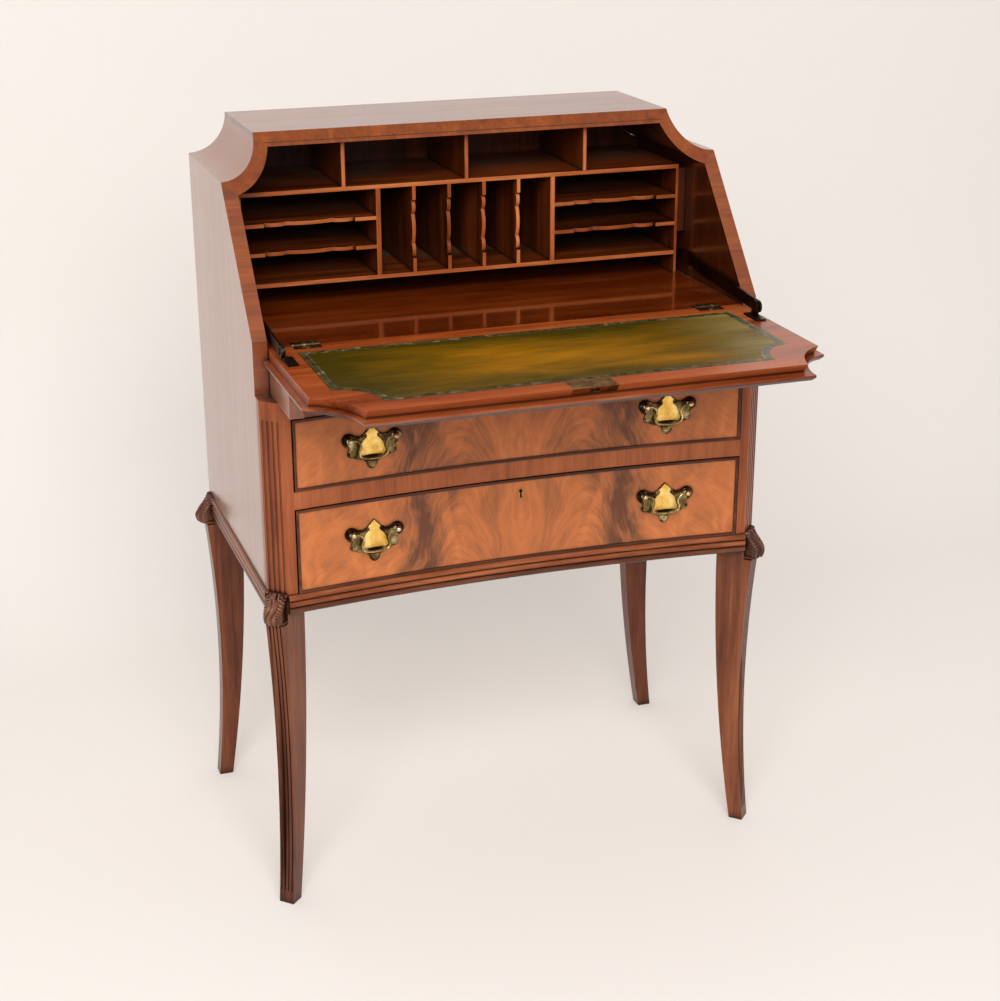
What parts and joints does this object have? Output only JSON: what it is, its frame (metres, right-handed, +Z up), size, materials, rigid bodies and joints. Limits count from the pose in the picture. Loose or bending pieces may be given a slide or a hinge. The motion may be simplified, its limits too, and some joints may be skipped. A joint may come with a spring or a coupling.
{
  "type": "fall-front writing bureau",
  "caption": "Small fall-front writing bureau with scooped corners, fitted pigeonholes, leather writing fall on lopers, hollow-fronted drawers and sabre legs.",
  "frame": {"origin": "on the floor below the middle of the open bureau's bounding box", "axes": "+Z up, +X to the right seen from the front, the front faces -Y, with the fall open"},
  "size_m": [0.73, 0.6632, 1.004],
  "materials": {
    "mahogany": "polished",
    "flame_veneer": "polished",
    "inner_wood": "satin",
    "drawer_lining": "plain",
    "ebonised_bead": "polished",
    "tooled_leather": "tooled",
    "gilt_brass": "aged",
    "dark_iron": "browned",
    "bolt_steel": "worn"
  },
  "bodies": {
    "carcase": {"back_panel": "inner_wood", "bed_rail": "mahogany", "bottom_shelf": "inner_wood", "divider_rail": "flame_veneer", "drawer_runners": "drawer_lining", "filler_strips": "inner_wood", "gable_left": "mahogany", "gable_right": "mahogany", "hinge_bed_left": "gilt_brass", "hinge_bed_right": "gilt_brass", "knee_back_left": "mahogany", "knee_back_right": "mahogany", "knee_front_left": "mahogany", "knee_front_right": "mahogany", "ledge_board": "mahogany", "leg_back_left": "mahogany", "leg_back_right": "mahogany", "leg_front_left": "mahogany", "leg_front_right": "mahogany", "pigeonhole_uprights": "inner_wood", "reeded_stile_left": "mahogany", "reeded_stile_right": "mahogany", "scalloped_dividers": "inner_wood", "scalloped_shelves": "inner_wood", "scoop_corner_left": "mahogany", "scoop_corner_right": "mahogany", "top_panel": "mahogany", "upper_dividers": "inner_wood", "upper_shelf": "inner_wood", "waist_rail_back": "mahogany", "waist_rail_front": "mahogany", "waist_rail_left": "mahogany", "waist_rail_right": "mahogany", "writing_bed": "inner_wood"},
    "fall": {"fall_board": "mahogany", "fall_leather": "tooled_leather", "fall_lock": "gilt_brass", "hinge_fall_left": "gilt_brass", "hinge_fall_right": "gilt_brass", "stay_bracket_left": "dark_iron", "stay_bracket_right": "dark_iron"},
    "fall_bolt": {"fall_lock_bolt": "bolt_steel"},
    "stay_left": {"stay_left": "dark_iron"},
    "stay_right": {"stay_right": "dark_iron"},
    "loper_left": {"loper_left": "mahogany"},
    "loper_right": {"loper_right": "mahogany"},
    "drawer_upper": {"drawer_front_upper": "flame_veneer", "drawer_box_upper": "drawer_lining", "cock_bead_upper": "ebonised_bead", "handle_plates_upper": "gilt_brass"},
    "drawer_lower": {"drawer_front_lower": "flame_veneer", "drawer_box_lower": "drawer_lining", "cock_bead_lower": "ebonised_bead", "handle_plates_lower": "gilt_brass", "drawer_lock": "gilt_brass"},
    "drawer_bolt": {"drawer_lock_bolt": "bolt_steel"},
    "bail_upper_left": {"bail_upper_left": "gilt_brass"},
    "bail_upper_right": {"bail_upper_right": "gilt_brass"},
    "bail_lower_left": {"bail_lower_left": "gilt_brass"},
    "bail_lower_right": {"bail_lower_right": "gilt_brass"}
  },
  "joints": [
    {"name": "fall_hinge", "type": "hinge", "parent": "carcase", "child": "fall", "pos_m": [0, -0.03544, 0.768], "axis": [-1, 0, 0], "range_deg": [0, 130.6]},
    {"name": "fall_bolt_slide", "type": "slide", "parent": "fall", "child": "fall_bolt", "axis": [0, -1, 0], "range_m": [0, 0.01]},
    {"name": "stay_pivot_left", "type": "hinge", "parent": "fall", "child": "stay_left", "pos_m": [-0.321, -0.09344, 0.78], "axis": [-1, 0, 0], "range_deg": [-121, 0]},
    {"name": "loper_slide_left", "type": "slide", "parent": "carcase", "child": "loper_left", "axis": [0, -1, 0], "range_m": [-0.108, 0.09]},
    {"name": "stay_pivot_right", "type": "hinge", "parent": "fall", "child": "stay_right", "pos_m": [0.321, -0.09344, 0.78], "axis": [-1, 0, 0], "range_deg": [-121, 0]},
    {"name": "loper_slide_right", "type": "slide", "parent": "carcase", "child": "loper_right", "axis": [0, -1, 0], "range_m": [-0.108, 0.09]},
    {"name": "drawer_slide_upper", "type": "slide", "parent": "carcase", "child": "drawer_upper", "axis": [0, -1, 0], "range_m": [0, 0.25]},
    {"name": "drawer_slide_lower", "type": "slide", "parent": "carcase", "child": "drawer_lower", "axis": [0, -1, 0], "range_m": [0, 0.25]},
    {"name": "drawer_bolt_slide", "type": "slide", "parent": "drawer_lower", "child": "drawer_bolt", "axis": [0, 0, 1], "range_m": [0, 0.008]},
    {"name": "bail_swing_upper_left", "type": "hinge", "parent": "drawer_upper", "child": "bail_upper_left", "pos_m": [-0.20375, -0.08203, 0.65085], "axis": [-0.9967, -0.0806, 0], "range_deg": [0, 85]},
    {"name": "bail_swing_upper_right", "type": "hinge", "parent": "drawer_upper", "child": "bail_upper_right", "pos_m": [0.20375, -0.08203, 0.65085], "axis": [-0.9967, 0.0806, 0], "range_deg": [0, 85]},
    {"name": "bail_swing_lower_left", "type": "hinge", "parent": "drawer_lower", "child": "bail_lower_left", "pos_m": [-0.20375, -0.08203, 0.5235], "axis": [-0.9967, -0.0806, 0], "range_deg": [0, 85]},
    {"name": "bail_swing_lower_right", "type": "hinge", "parent": "drawer_lower", "child": "bail_lower_right", "pos_m": [0.20375, -0.08203, 0.5235], "axis": [-0.9967, 0.0806, 0], "range_deg": [0, 85]}
  ],
  "couplings": [
    {"joint": "stay_pivot_left", "follows": "fall_hinge", "ratio": -0.92},
    {"joint": "stay_pivot_right", "follows": "fall_hinge", "ratio": -0.92}
  ]
}
